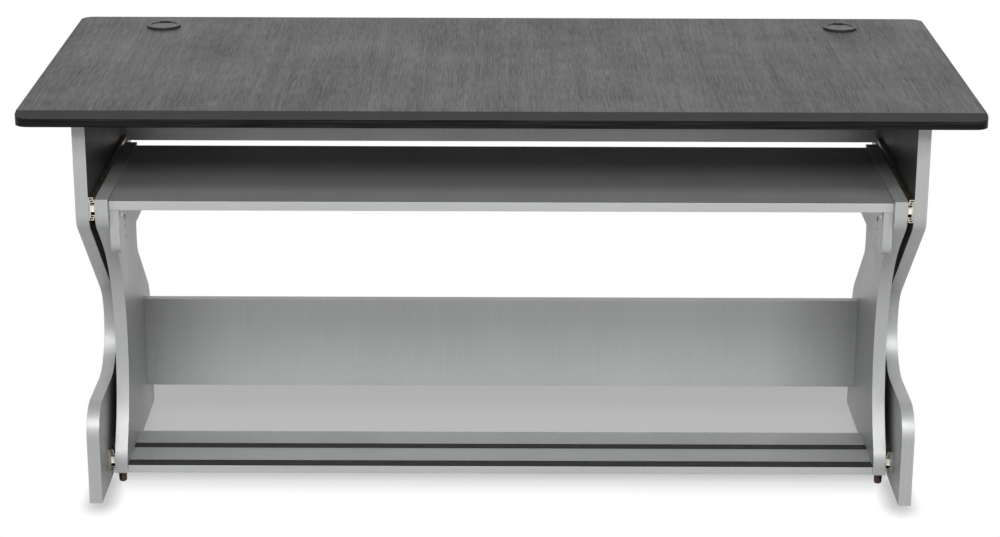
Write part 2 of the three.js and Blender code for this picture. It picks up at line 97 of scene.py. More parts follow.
def roundEdges(piece, width, segments=2, above=30):
    applyModifier(piece, "BEVEL", width=width, segments=segments, limit_method="ANGLE",
                  angle_limit=math.radians(above), use_clamp_overlap=True)


def smoothOver(piece, angle=bench["smooth"]):
    pickUp(piece)
    bpy.ops.object.shade_smooth_by_angle(angle=math.radians(angle))
    applyModifier(piece, "WEIGHTED_NORMAL", keep_sharp=True)


def placeInMesh(piece):
    pickUp(piece)
    bpy.ops.object.transform_apply(location=True, rotation=True, scale=True)


def addShape(add, **settings):  # add is the operator that makes the shape
    bpy.ops.object.select_all(action="DESELECT")
    add(**settings)
    shape = bpy.context.active_object
    placeInMesh(shape)
    return shape


def addBlock(low, high):
    low, high = Vector(low), Vector(high)
    return addShape(bpy.ops.mesh.primitive_cube_add, size=1, location=(low + high) / 2, scale=high - low)


def addDrum(radius, start, end, steps=32):  # cylinder from one point to another
    start, end = Vector(start), Vector(end)
    turn = (end - start).to_track_quat("Z", "Y").to_euler()
    return addShape(bpy.ops.mesh.primitive_cylinder_add, vertices=steps, radius=radius,
                    depth=(end - start).length, location=(start + end) / 2, rotation=turn)


def drawLine(points):  # a plane drawn together to one corner, which is then drawn out along the points
    points = [Vector(point) for point in points]
    line = addShape(bpy.ops.mesh.primitive_plane_add, size=bench["speck"], location=points[0])
    openUp(line)
    bpy.ops.mesh.select_all(action="SELECT")
    bpy.ops.mesh.merge(type="CENTER")
    for before, after in zip(points, points[1:]):
        bpy.ops.mesh.extrude_vertices_move(TRANSFORM_OT_translate={"value": after - before})
    bpy.ops.mesh.select_all(action="SELECT")
    return line


def closeSeams():
    bpy.ops.mesh.select_mode(type="VERT")
    bpy.ops.mesh.select_all(action="SELECT")
    bpy.ops.mesh.remove_doubles(threshold=bench["seam"])
    bpy.ops.mesh.normals_make_consistent(inside=False)


def turnPiece(profile, at, steps):  # profile is radius and height pairs, turned about the upright through at
    at = Vector(at)
    drawLine([at + Vector((radius, 0, height)) for radius, height in profile])
    bpy.ops.mesh.spin(steps=steps, angle=2 * math.pi, center=at, axis=(0, 0, 1))
    closeSeams()
    return closeUp()


def rollSheet(points, span, sheet, bend):  # the centre line is bent at its corners and drawn out along span
    line = drawLine(points)
    choose(line, "verts", lambda corner: len(corner.link_edges) == 2)
    bpy.ops.mesh.bevel(affect="VERTICES", offset=bend, segments=bench["bendSteps"])
    bpy.ops.mesh.select_all(action="SELECT")
    bpy.ops.mesh.extrude_region_move(TRANSFORM_OT_translate={"value": span})
    closeSeams()
    closeUp()
    applyModifier(line, "SOLIDIFY", thickness=sheet, offset=0, use_even_offset=True)
    openUp(line)
    closeSeams()
    return closeUp()


def cutAway(piece, cutters):
    for cutter in cutters:
        applyModifier(piece, "BOOLEAN", operation="DIFFERENCE", solver="EXACT", object=cutter)
        bpy.data.objects.remove(cutter)


def joinUp(pieces):
    pickUp(pieces[0])
    for piece in pieces:
        piece.select_set(True)
    bpy.ops.object.join()
    return pieces[0]


def addObject(name, data):
    made = bpy.data.objects.new(name, data)
    bpy.context.scene.collection.objects.link(made)
    return made


def copyPiece(master, place):
    copy = addObject(master.name, master.data.copy())
    copy.matrix_world = place
    placeInMesh(copy)
    return copy


def aim(at, along):  # the place of a piece whose Z points along the given way
    return Matrix.Translation(Vector(at)) @ Vector(along).to_track_quat("Z", "Y").to_matrix().to_4x4()


def copyNode(node):  # a CAD node's mesh is loose triangles, so its copy is merged into whole faces first
    copy = addObject(node, frame["nodes"][node].data.copy())
    openUp(copy)
    bpy.ops.mesh.select_all(action="SELECT")
    bpy.ops.mesh.remove_doubles(threshold=bench["seam"])
    bpy.ops.mesh.dissolve_limited(angle_limit=math.radians(bench["flat"]))
    closeUp()
    bpy.ops.mesh.customdata_custom_splitnormals_clear()
    return copy


def ride(piece, name, body, finishes, pick=None):  # pick gives the index of a face's finish
    piece.name = name
    piece.data.name = name
    piece.data.materials.clear()
    for finish in finishes:
        piece.data.materials.append(finish)
    for face in piece.data.polygons:
        face.material_index = pick(face) if pick else 0
    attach(piece, body)


def standFor(piece, name, node, finishes, pick=None):
    ride(piece, name, bodyOf[node], finishes, pick)
    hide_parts(node)


def finishSmall(piece, name, node, finishes, pick=None, angle=bench["smallRound"]):
    smoothOver(piece, angle)
    standFor(piece, name, node, finishes, pick)


# Shader nodes

def feed(tree, made, inputs):  # a socket is linked, and anything else is set as the value
    for socket, value in inputs.items():
        if isinstance(value, bpy.types.NodeSocket):
            tree.links.new(value, made.inputs[socket])
        else:
            made.inputs[socket].default_value = value
    return made


def addNode(tree, kind, inputs=None, **settings):  # kind is the name that follows ShaderNode
    made = tree.nodes.new(f"ShaderNode{kind}")
    for setting, value in settings.items():
        setattr(made, setting, value)
    return feed(tree, made, inputs or {})


def newGroup(name, outputs, **values):  # a group that takes a place and values, and gives values
    group = bpy.data.node_groups.new(name, "ShaderNodeTree")
    group.interface.new_socket(name="Vector", in_out="INPUT", socket_type="NodeSocketVector")
    for label, value in values.items():
        socket = group.interface.new_socket(name=label, in_out="INPUT", socket_type="NodeSocketFloat")
        socket.default_value = value
    for label in outputs:
        group.interface.new_socket(name=label, in_out="OUTPUT", socket_type="NodeSocketFloat")
    return group, group.nodes.new("NodeGroupInput").outputs, group.nodes.new("NodeGroupOutput")


def ramp(tree, value, low, high, start=0.0, end=1.0):
    made = addNode(tree, "MapRange", {"Value": value, "From Min": low, "From Max": high, "To Min": start,
                                      "To Max": end})
    return made.outputs["Result"]


def swing(tree, value, reach=1.0, spread=(0.3, 0.7)):  # spreads a noise's usual values over -reach to reach
    return ramp(tree, value, *spread, -reach, reach)


def reckon(tree, operation, first, second=0.0, clamp=False):
    made = addNode(tree, "Math", {0: first, 1: second}, operation=operation, use_clamp=clamp)
    return made.outputs["Value"]


def blendColours(tree, share, first, second):
    made = addNode(tree, "Mix", {"Factor": share, 6: first, 7: second}, data_type="RGBA")
    return made.outputs[2]


def reckonVectors(tree, operation, *vectors):
    return addNode(tree, "VectorMath", dict(enumerate(vectors)), operation=operation).outputs["Vector"]


def axes(tree, vector):
    return addNode(tree, "SeparateXYZ", {"Vector": vector}).outputs


def noise(tree, vector, scale, detail=2.0, rough=0.5):
    made = addNode(tree, "TexNoise", {"Vector": vector, "Scale": scale, "Detail": detail, "Roughness": rough})
    return made.outputs["Fac"]


def longNoise(tree, vector, scales, detail, rough=0.5):  # scales are those along X, Y and Z
    return noise(tree, reckonVectors(tree, "MULTIPLY", vector, scales), 1.0, detail, rough)


woodNoise = {"sway": ((5, 2.6, 5), 1.0), "band": ((24, 1.3, 24), 3.0, 0.6), "fine": ((430, 5, 430), 1.0, 0.6),
             "hair": ((620, 20, 620), 1.0), "cluster": ((30, 4, 30), 2.0), "chatter": ((7, 240, 7), 1.0)}
woodShare = {"clusters": (0.38, 0.66), "between": 0.25, "hairs": 0.9, "chatter": 0.12, "waviness": 0.006}


def makeWoodGrain():  # grain along Y: broad bands, fine streaks in clusters and faint chatter across
    group, given, sink = newGroup("woodGrain", ("Band", "Line"), Waviness=woodShare["waviness"])
    place = given["Vector"]
    sway = longNoise(group, place, *woodNoise["sway"])
    shift = reckon(group, "MULTIPLY", reckon(group, "SUBTRACT", sway, 0.5), given["Waviness"])
    parts = axes(group, place)
    across = reckon(group, "ADD", parts["X"], shift)
    joined = addNode(group, "CombineXYZ", {"X": across, "Y": parts["Y"], "Z": parts["Z"]})
    swayed = joined.outputs["Vector"]
    band = longNoise(group, swayed, *woodNoise["band"])
    fine = longNoise(group, swayed, *woodNoise["fine"])
    hair = longNoise(group, swayed, *woodNoise["hair"])
    cluster = longNoise(group, swayed, *woodNoise["cluster"])
    chatter = longNoise(group, place, *woodNoise["chatter"])
    share = ramp(group, cluster, *woodShare["clusters"], woodShare["between"], 1.0)
    lines = reckon(group, "MULTIPLY", swing(group, fine), share)
    hairs = reckon(group, "MULTIPLY", swing(group, hair), woodShare["hairs"])
    both = reckon(group, "ADD", lines, hairs)
    line = reckon(group, "ADD", both, swing(group, chatter, woodShare["chatter"]))
    group.links.new(swing(group, band), sink.inputs["Band"])
    group.links.new(line, sink.inputs["Line"])
    return group


sheenNoise = {"line": ((420, 420, 9), 2.0, 0.6), "cloud": ((6, 6, 2.4), 2.0), "fleck": (1700.0, 1.0)}
sheenShare = {"lines": 0.5, "clouds": 0.35, "spread": (0.25, 0.75), "flecks": (0.55, 0.8)}


def makeBoardSheen():  # metallic lacquer look of the silver foil: fine lines along Z, flecks and soft clouds
    group, given, sink = newGroup("boardSheen", ("Shade", "Fleck", "Height"))
    line = longNoise(group, given["Vector"], *sheenNoise["line"])
    cloud = longNoise(group, given["Vector"], *sheenNoise["cloud"])
    fleck = noise(group, given["Vector"], *sheenNoise["fleck"])
    shade = reckon(group, "ADD", swing(group, line, sheenShare["lines"], sheenShare["spread"]),
                   swing(group, cloud, sheenShare["clouds"], sheenShare["spread"]))
    group.links.new(shade, sink.inputs["Shade"])
    group.links.new(ramp(group, fleck, *sheenShare["flecks"]), sink.inputs["Fleck"])
    group.links.new(reckon(group, "ADD", fleck, line), sink.inputs["Height"])
    return group


smudge = {"size": 9.0, "detail": 4.0, "rough": 0.6, "range": (0.35, 0.75)}


def makeHandling():  # smudges that change the gloss a little
    group, given, sink = newGroup("handling", ["Smudge"], Size=smudge["size"])
    wide = noise(group, given["Vector"], given["Size"], smudge["detail"], smudge["rough"])
    group.links.new(ramp(group, wide, *smudge["range"]), sink.inputs["Smudge"])
    return group


arris = {"patch": (55.0, 3.0), "range": (0.35, 0.7), "least": 0.35, "tilts": (0.05, 0.985),
         "topTilts": (0.05, 0.9)}


def makeArris():  # how worn a rounded edge is, from the piece's own attribute
    group, given, sink = newGroup("arrisWear", ["Wear"])
    edge = addNode(group, "Attribute", attribute_name="arris").outputs["Fac"]
    patch = noise(group, given["Vector"], *arris["patch"])
    patches = ramp(group, patch, *arris["range"], arris["least"], 1.0)
    group.links.new(reckon(group, "MULTIPLY", edge, patches), sink.inputs["Wear"])
    return group


woodGrain, boardSheen, handling, arrisWear = makeWoodGrain(), makeBoardSheen(), makeHandling(), makeArris()


def startFinish(name, **constants):
    material = bpy.data.materials.new(name)
    material.use_nodes = True
    tree = material.node_tree
    shader = tree.nodes["Principled BSDF"]
    for socket, value in constants.items():
        shader.inputs[socket.replace("_", " ")].default_value = value
    place = addNode(tree, "TexCoord").outputs["Object"]
    return material, tree, shader, place


def useGroup(tree, group, inputs):
    made = tree.nodes.new("ShaderNodeGroup")
    made.node_tree = group
    return feed(tree, made, inputs).outputs


def dressShader(tree, shader, colour, rough, height, bump, relief):
    made = addNode(tree, "Bump", {"Height": height, "Strength": bump, "Distance": relief})
    feed(tree, shader, {"Base Color": colour, "Roughness": rough, "Normal": made.outputs["Normal"]})


topFinish = {"dark": (0.020, 0.0202, 0.0205, 1), "light": (0.112, 0.1124, 0.1134, 1), "middle": 0.46,
             "band": 0.21, "line": 0.42, "waviness": 0.004, "smudge": 5.0, "gloss": (0.44, 0.58),
             "specular": 0.2, "wear": 0.5, "worn": (0.2, 0.2, 0.205, 1), "bump": 0.2, "relief": 0.00012}


def makeTopGrain():
    material, tree, shader, place = startFinish("topGrain", Specular_IOR_Level=topFinish["specular"])
    grain = useGroup(tree, woodGrain, {"Vector": place, "Waviness": topFinish["waviness"]})
    worn = useGroup(tree, handling, {"Vector": place, "Size": topFinish["smudge"]})
    band = reckon(tree, "MULTIPLY", grain["Band"], topFinish["band"])
    line = reckon(tree, "MULTIPLY", grain["Line"], topFinish["line"])
    share = reckon(tree, "ADD", reckon(tree, "ADD", band, line), topFinish["middle"], True)
    ground = blendColours(tree, share, topFinish["dark"], topFinish["light"])
    wear = useGroup(tree, arrisWear, {"Vector": place})["Wear"]
    rubbed = reckon(tree, "MULTIPLY", wear, topFinish["wear"])
    colour = blendColours(tree, rubbed, ground, topFinish["worn"])
    rough = ramp(tree, worn["Smudge"], 0.0, 1.0, *topFinish["gloss"])
    dressShader(tree, shader, colour, rough, grain["Line"], topFinish["bump"], topFinish["relief"])
    return material


bevelFinish = {"dark": (0.010, 0.0102, 0.0106, 1), "light": (0.018, 0.0183, 0.019, 1), "range": (-1.5, 1.5),
               "gloss": (0.45, 0.55), "specular": 0.16, "bump": 0.1}


def makeBevelGrain():
    material, tree, shader, place = startFinish("bevelGrain", Specular_IOR_Level=bevelFinish["specular"])
    grain = useGroup(tree, woodGrain, {"Vector": place})
    share = ramp(tree, reckon(tree, "ADD", grain["Band"], grain["Line"]), *bevelFinish["range"])
    colour = blendColours(tree, share, bevelFinish["dark"], bevelFinish["light"])
    rough = ramp(tree, grain["Line"], -1.0, 1.0, *bevelFinish["gloss"])
    dressShader(tree, shader, colour, rough, grain["Line"], bevelFinish["bump"], topFinish["relief"])
    return material


edgeBandFinish = {"black": (0.0012, 0.0012, 0.0014, 1), "streak": (0.022, 0.0225, 0.024, 1),
                  "line": ((5, 5, 330), 3.0, 0.6), "streaks": (0.42, 0.68), "spread": (0.3, 0.7),
                  "gloss": (0.36, 0.5), "specular": 0.1, "bump": 0.35, "relief": 0.00012}


def makeEdgeBand():  # the grain runs round the edge, so it is stretched along X and Y and close along Z
    material, tree, shader, place = startFinish("edgeBand", Specular_IOR_Level=edgeBandFinish["specular"])
    line = longNoise(tree, place, *edgeBandFinish["line"])
    share = ramp(tree, line, *edgeBandFinish["streaks"])
    colour = blendColours(tree, share, edgeBandFinish["black"], edgeBandFinish["streak"])
    rough = ramp(tree, line, *edgeBandFinish["spread"], *edgeBandFinish["gloss"])
    dressShader(tree, shader, colour, rough, line, edgeBandFinish["bump"], edgeBandFinish["relief"])
    return material


# The edge and long tones are paler than the face tone: painted light on the board edges, which are the same
# silver as the faces
silverFinish = {"face": (0.36, 0.37, 0.365, 1), "edge": (0.43, 0.44, 0.435, 1),
                "long": (0.475, 0.485, 0.48, 1), "fleck": (0.55, 0.56, 0.55, 1), "flecks": 0.3, "wear": 0.35,
                "metallic": 0.35, "specular": 0.5, "smudge": 7.0, "gloss": (0.4, 0.5), "range": (-0.85, 0.85),
                "shade": (0.92, 1.07), "bump": 0.12, "relief": 0.00008}
# Painted shade for the outer panels' faces in the gap beside the slides: the colour darkens towards the top
# and the back
gapPaintedShade = {"darkest": 0.2, "above": (0.30, 0.44), "behind": (-0.31, -0.13), "below": (0.62, 0.58),
            "openBehind": (-0.10, 0.08), "openRear": (0.15, 0.19), "specular": 0.15}
# Painted light and shade on the modesty board: paler towards the floor, darker towards the side panels
modestyPaintedLight = {"foot": (0.235, 0.11), "footTone": 1.28, "ends": (0.56, 0.73), "endTone": 0.66}


def paintGapShade(tree, place):  # painted shade: darker towards the top and the back, where the gap beside the slide is closed
    parts = axes(tree, place)
    above, below = (ramp(tree, parts["Z"], *gapPaintedShade[way]) for way in ("above", "below"))
    behind, openBehind, openRear = (ramp(tree, parts["Y"], *gapPaintedShade[way])
                                    for way in ("behind", "openBehind", "openRear"))
    deep = reckon(tree, "MAXIMUM", above, behind)
    clear = reckon(tree, "MAXIMUM", openRear, reckon(tree, "MINIMUM", below, openBehind))
    closed = reckon(tree, "MULTIPLY", deep, reckon(tree, "SUBTRACT", 1.0, clear))
    return ramp(tree, closed, 0.0, 1.0, 1.0, gapPaintedShade["darkest"])


def paintModestyLight(tree, place):  # painted light and shade: paler towards the floor and darker towards the side panels
    parts = axes(tree, place)
    foot = ramp(tree, parts["Z"], *modestyPaintedLight["foot"], 1.0, modestyPaintedLight["footTone"])
    out = reckon(tree, "ABSOLUTE", parts["X"])
    ends = ramp(tree, out, *modestyPaintedLight["ends"], 1.0, modestyPaintedLight["endTone"])
    return reckon(tree, "MULTIPLY", foot, ends)


def makeSilver(name, tone, turned, shade=None, specular=silverFinish["specular"]):
    made = startFinish(name, Metallic=silverFinish["metallic"], Specular_IOR_Level=specular)
    material, tree, shader, place = made
    # The place is turned, so that the fine lines run along the board
    laid = addNode(tree, "Mapping", {"Vector": place, "Rotation": turned}).outputs["Vector"]
    sheen = useGroup(tree, boardSheen, {"Vector": laid})
    worn = useGroup(tree, handling, {"Vector": place, "Size": silverFinish["smudge"]})
    wear = useGroup(tree, arrisWear, {"Vector": place})["Wear"]
    share = ramp(tree, sheen["Shade"], *silverFinish["range"])
    darker, paler = ([factor * value for value in tone[:3]] + [1] for factor in silverFinish["shade"])
    ground = blendColours(tree, share, darker, paler)
    flecks = reckon(tree, "MULTIPLY", sheen["Fleck"], silverFinish["flecks"])
    flecked = blendColours(tree, flecks, ground, silverFinish["fleck"])
    rubbed = reckon(tree, "MULTIPLY", wear, silverFinish["wear"])
    colour = blendColours(tree, rubbed, flecked, silverFinish["fleck"])
    # A shade function, where given, scales the colour: painted light and shade
    if shade:
        scaled = {0: colour, "Scale": shade(tree, place)}
        colour = addNode(tree, "VectorMath", scaled, operation="SCALE").outputs["Vector"]
    rough = ramp(tree, worn["Smudge"], 0.0, 1.0, *silverFinish["gloss"])
    dressShader(tree, shader, colour, rough, sheen["Height"], silverFinish["bump"], silverFinish["relief"])
    return material


moulded = {"paler": 1.35, "lift": 0.01, "specks": 0.6, "smudge": 60.0, "gloss": (-0.05, 0.08), "bump": 0.25}


def makeMoulded(name, tone, gloss, grainSize=1400.0, relief=0.0001, specular=0.5):
    material, tree, shader, place = startFinish(name, Specular_IOR_Level=specular)
    texture = noise(tree, place, grainSize)
    worn = useGroup(tree, handling, {"Vector": place, "Size": moulded["smudge"]})
    paler = [min(1.0, moulded["paler"] * value + moulded["lift"]) for value in tone[:3]] + [1]
    colour = blendColours(tree, reckon(tree, "MULTIPLY", texture, moulded["specks"]), tone, paler)
    rough = ramp(tree, worn["Smudge"], 0.0, 1.0, *(gloss + change for change in moulded["gloss"]))
    dressShader(tree, shader, colour, rough, texture, moulded["bump"], relief)
    return material


metal = {"line": (2.0, 0.6), "patch": (38.0, 3.0, 0.6), "patches": (0.35, 0.7), "spread": (0.3, 0.7),
         "gloss": (-0.05, 0.07), "smudge": 45.0, "smudges": 0.08, "bump": 0.12, "relief": 0.00006}


def makeMetal(name, tone, warm, gloss, brushed=(240, 14, 240)):  # warm is the tint of patches
    material, tree, shader, place = startFinish(name, Metallic=1.0)
    line = longNoise(tree, place, brushed, *metal["line"])
    patch = noise(tree, place, *metal["patch"])
    colour = blendColours(tree, ramp(tree, patch, *metal["patches"]), tone, warm)
    worn = useGroup(tree, handling, {"Vector": place, "Size": metal["smudge"]})
    brush = ramp(tree, line, *metal["spread"], *(gloss + change for change in metal["gloss"]))
    rough = reckon(tree, "ADD", brush, reckon(tree, "MULTIPLY", worn["Smudge"], metal["smudges"]))
    dressShader(tree, shader, colour, rough, line, metal["bump"], metal["relief"])
    return material


topGrain, bevelGrain, edgeBand = makeTopGrain(), makeBevelGrain(), makeEdgeBand()
silverUpright = makeSilver("silverUpright", silverFinish["face"], (0, 0, 0))
# silver with painted shade, for the faces in the gap beside the slides
silverPaintedShade = makeSilver("silverPaintedShade", silverFinish["face"], (0, 0, 0), paintGapShade, gapPaintedShade["specular"])
silverModestyPaintedLight = makeSilver("silverModestyPaintedLight", silverFinish["face"], (0, 0, 0), paintModestyLight)
silverFlat = makeSilver("silverFlat", silverFinish["face"], (math.pi / 2, 0, 0))
# paler copies of the silver for board edges: painted light
silverEdgePaintedLight = makeSilver("silverEdgePaintedLight", silverFinish["edge"], (0, 0, 0))
silverLongPaintedLight = makeSilver("silverLongPaintedLight", silverFinish["long"], (0, math.pi / 2, 0))
grommetPlastic = makeMoulded("grommetPlastic", (0.020, 0.0205, 0.0215, 1), 0.42)
# a darker copy of the grommet plastic for its walls, rim sides and slot: painted shade
grommetWallPaintedShade = makeMoulded("grommetWallPaintedShade", (0.011, 0.011, 0.0116, 1), 0.6, specular=0.3)
ivoryPlastic = makeMoulded("ivoryPlastic", (0.92, 0.87, 0.78, 1), 0.4, 700.0)
rubber = makeMoulded("ribbedRubber", (0.007, 0.0073, 0.0078, 1), 0.72, 900.0, 0.0002, 0.35)
zincSteel = makeMetal("zincSteel", (0.50, 0.42, 0.35, 1), (0.30, 0.21, 0.15, 1), 0.28)
# a paler copy of the slide steel for the members' front ends: painted highlight
steelEndsPaintedHighlight = makeMetal("steelEndsPaintedHighlight", (0.80, 0.75, 0.67, 1), (0.72, 0.65, 0.56, 1), 0.3, (500, 500, 60))
cageSteel = makeMetal("cageSteel", (0.72, 0.70, 0.67, 1), (0.58, 0.52, 0.46, 1), 0.24)
ballSteel = makeMetal("ballSteel", (0.76, 0.75, 0.74, 1), (0.68, 0.66, 0.64, 1), 0.12, (90, 90, 90))
screwSteel = makeMetal("screwSteel", (0.68, 0.64, 0.58, 1), (0.5, 0.42, 0.34, 1), 0.28, (300, 300, 300))
boltBlack = makeMetal("boltBlack", (0.34, 0.34, 0.335, 1), (0.42, 0.415, 0.41, 1), 0.42, (200, 200, 200))
bracketSteel = makeMetal("bracketSteel", (0.52, 0.52, 0.51, 1), (0.44, 0.43, 0.41, 1), 0.3)
bronzeSteel = makeMetal("bronzeSteel", (0.085, 0.055, 0.045, 1), (0.05, 0.034, 0.03, 1), 0.14, (60, 60, 700))
print("finishes made:", len(bpy.data.materials))


# Boards

board = {"round": 0.0009, "topRound": 0.0008, "bandRound": 0.00064, "creaseRound": 0.0022, "creaseSteps": 3,
         "creaseWithin": 0.05, "creaseBeyond": 0.85, "surface": 0.00001, "level": 0.9, "across": 0.5,
         "base": 0.001}


def markArris(piece, axis, tilts=arris["tilts"]):  # 1 on the rounded edges, 0 on faces and straight edges
    low, high = tilts
    attribute = piece.data.attributes.new("arris", "FLOAT", "FACE")
    turned = [abs(face.normal[axis]) for face in piece.data.polygons]
    attribute.data.foreach_set("value", [1.0 if low < tilt < high else 0.0 for tilt in turned])


def finishBoard(piece, name, node, axis, face, edge):  # axis is the one that the board is thin along
    smoothOver(piece)
    markArris(piece, axis)
    standFor(piece, name, node, [face, edge], lambda side: int(abs(side.normal[axis]) <= board["across"]))


def dressBoard(node, axis, face, edge, name=None):
    piece = copyNode(node)
    roundEdges(piece, board["round"])
    finishBoard(piece, name or f"{node}_board", node, axis, face, edge)
    return piece


def makeTop():
    slab = copyNode("desktop_board")
    low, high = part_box("desktop_board")
    crease = max(v.co.y for v in slab.data.vertices if v.co.z > high.z - board["surface"]
                 and v.co.y < low.y + board["creaseWithin"] and abs(v.co.x) > board["creaseBeyond"])
    openUp(slab)
    choose(slab, "edges", lambda edge: all(
        abs(v.co.y - crease) < bench["near"] and v.co.z > high.z - bench["near"] for v in edge.verts))
    bpy.ops.mesh.bevel(offset=board["creaseRound"], segments=board["creaseSteps"])
    closeUp()
    roundEdges(slab, board["topRound"])
    smoothOver(slab)
    markArris(slab, 2, arris["topTilts"])

    def pick(face):  # 0 is the grained top and underside, 1 the bevel and 2 the edge
        level = abs(face.normal.z)
        if level > board["level"] and face.center.y < crease and face.center.z > low.z + board["base"]:
            return 1
        return 0 if level > board["across"] else 2

    standFor(slab, "desktop_grained", "desktop_board", [topGrain, bevelGrain, edgeBand], pick)
    band = copyNode("desktop_edge_band")
    roundEdges(band, board["bandRound"])
    finishSmall(band, "edge_band_wrapped", "desktop_edge_band", [edgeBand], angle=bench["smooth"])


def makeSideBoards():
    for name, side in sides.items():
        outer = dressBoard(f"outer_side_{name}", 0, silverUpright, silverEdgePaintedLight)
        outer.data.materials.append(silverPaintedShade)
        for face in outer.data.polygons:
            if face.normal.x * side < -board["across"]:  # the face that looks into the gap takes the silver with painted shade
                face.material_index = 2
        dressBoard(f"inner_side_{name}", 0, silverUpright, silverEdgePaintedLight)


def makeCrossBoards():
    dressBoard("rear_apron", 1, silverUpright, silverLongPaintedLight)
    # the modesty board's faces carry painted light and shade
    dressBoard("modesty_panel", 1, silverModestyPaintedLight, silverFlat, "modesty_board")
    dressBoard("keyboard_shelf", 2, silverFlat, silverLongPaintedLight)
    dressBoard("pedal_shelf", 2, silverFlat, silverLongPaintedLight)


cleat = {"corner": 0.025, "cornerSteps": 12, "holeRadius": 0.0042, "holeDrop": 0.036, "holePitch": 0.019,
         "holes": 3, "past": 0.005}


def makeCleats():
    for name in sides:
        node = f"shelf_cleat_{name}"
        low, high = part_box(node)
        piece = addBlock(low, high)
        openUp(piece)
        choose(piece, "edges", lambda edge: all(
            v.co.y < low.y + bench["near"] and v.co.z < low.z + bench["near"] for v in edge.verts))
        bpy.ops.mesh.bevel(offset=cleat["corner"], segments=cleat["cornerSteps"])
        closeUp()
        roundEdges(piece, board["round"])
        holes = []
        start, end = low.x - cleat["past"], high.x + cleat["past"]
        for row in rows:
            boltLow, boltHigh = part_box(f"cleat_bolt_{row}_{name}")
            y = (boltLow.y + boltHigh.y) / 2
            for step in range(cleat["holes"]):
                z = high.z - cleat["holeDrop"] - step * cleat["holePitch"]
                holes.append(addDrum(cleat["holeRadius"], (start, y, z), (end, y, z)))
        cutAway(piece, holes)
        finishBoard(piece, f"{node}_board", node, 0, silverUpright, silverEdgePaintedLight)


# Rubber strips with ribs along them

strip = {"rib": 0.0018, "ribHeight": 0.0006, "margin": 0.0022, "smooth": 30,
         "ribLine": ((0, 0), (0.25, 1), (0.65, 1), (0.9, 0))}


def makeRubberStrips():
    for row in rows:
        node = f"rubber_strip_{row}"
        low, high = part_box(node)
        base = high.z - strip["ribHeight"]
        count = int((high.y - low.y - 2 * strip["margin"]) / strip["rib"])
        start = (low.y + high.y - count * strip["rib"]) / 2
        points = [(low.x, low.y, low.z), (low.x, low.y, base)]
        for step in range(count):
            points += [(low.x, start + (step + along) * strip["rib"], high.z if up else base)
                       for along, up in strip["ribLine"]]
        points += [(low.x, high.y, base), (low.x, high.y, low.z), (low.x, low.y, low.z)]
        band = drawLine(points)
        closeSeams()
        bpy.ops.mesh.edge_face_add()
        bpy.ops.mesh.extrude_region_move(TRANSFORM_OT_translate={"value": (high.x - low.x, 0, 0)})
        closeSeams()
        closeUp()
        finishSmall(band, f"{node}_ribbed", node, [rubber], angle=strip["smooth"])


# Grommets

grommet = {"turnSteps": 96, "wallTilt": 0.8, "seat": 0.0006, "ledge": 0.0012, "barrel": 0.0053,
           "bore": 0.0075, "recess": 0.0025, "rimRound": 0.00096, "rimSteps": 4, "play": 0.0003,
           "skirt": 0.0023, "dish": 0.0016, "dishRim": (0.004, 0.0052), "capRound": 0.0009, "capSteps": 4,
           "slotHalf": 0.012, "slotDepth": 0.014, "slotCorner": 0.006, "cornerSteps": 8, "slotEdge": 0.0003,
           "slotAbove": 50, "pastEdge": 0.01, "pastTop": 0.005, "upright": 0.001}


def roundedProfile(points, radius, steps, corners):  # replaces the named corners by arcs
    made = []
    for index, (x, z) in enumerate(points):
        if index not in corners:
            made.append((x, z))
            continue
        corner = Vector((x, z))
        before = (Vector(points[index - 1]) - corner).normalized() * radius
        after = (Vector(points[(index + 1) % len(points)]) - corner).normalized() * radius
        centre = corner + before + after
        for step in range(steps + 1):
            angle = step / steps * math.pi / 2
            made.append(tuple(centre - after * math.cos(angle) - before * math.sin(angle)))
    return made


def isWall(face):
    return abs(face.normal.z) < grommet["wallTilt"]


